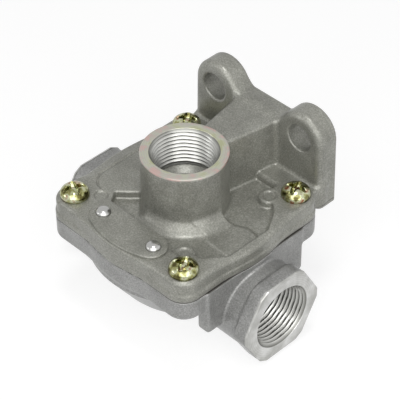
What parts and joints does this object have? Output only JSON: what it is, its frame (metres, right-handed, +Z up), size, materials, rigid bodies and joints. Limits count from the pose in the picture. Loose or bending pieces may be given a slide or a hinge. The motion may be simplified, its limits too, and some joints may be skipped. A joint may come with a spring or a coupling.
{
  "type": "quick exhaust valve",
  "caption": "Air brake quick exhaust valve: square die-cast body with threaded inlet boss on top, two opposed side ports, exhaust below and a two-eared bracket.",
  "frame": {"origin": "under the middle of the valve's outline, level with the exhaust boss's lower face, on which the loose valve stands", "axes": "+X along the right delivery port, +Y towards the bracket's ears, +Z up the inlet port"},
  "size_m": [0.0868, 0.0728, 0.0657],
  "materials": {
    "casting": "fine blasted die casting, satin",
    "zinc": "yellow passivated zinc plate",
    "plate": "plain matt sheet",
    "bright": "bright drive rivet",
    "rubber": "matt moulded nitrile rubber"
  },
  "bodies": {
    "housing": {"upper_housing": "casting", "lower_housing": "casting", "sealing_ring": "rubber", "screw_front_left": "zinc", "screw_front_right": "zinc", "screw_rear_right": "zinc", "screw_rear_left": "zinc", "rating_plate": "plate", "plate_rivet_left": "bright", "plate_rivet_right": "bright"},
    "diaphragm": {"diaphragm": "rubber"}
  },
  "joints": [
    {"name": "diaphragm_lift", "type": "slide", "parent": "housing", "child": "diaphragm", "axis": [0, 0, 1], "range_m": [0, 0.0018]}
  ]
}
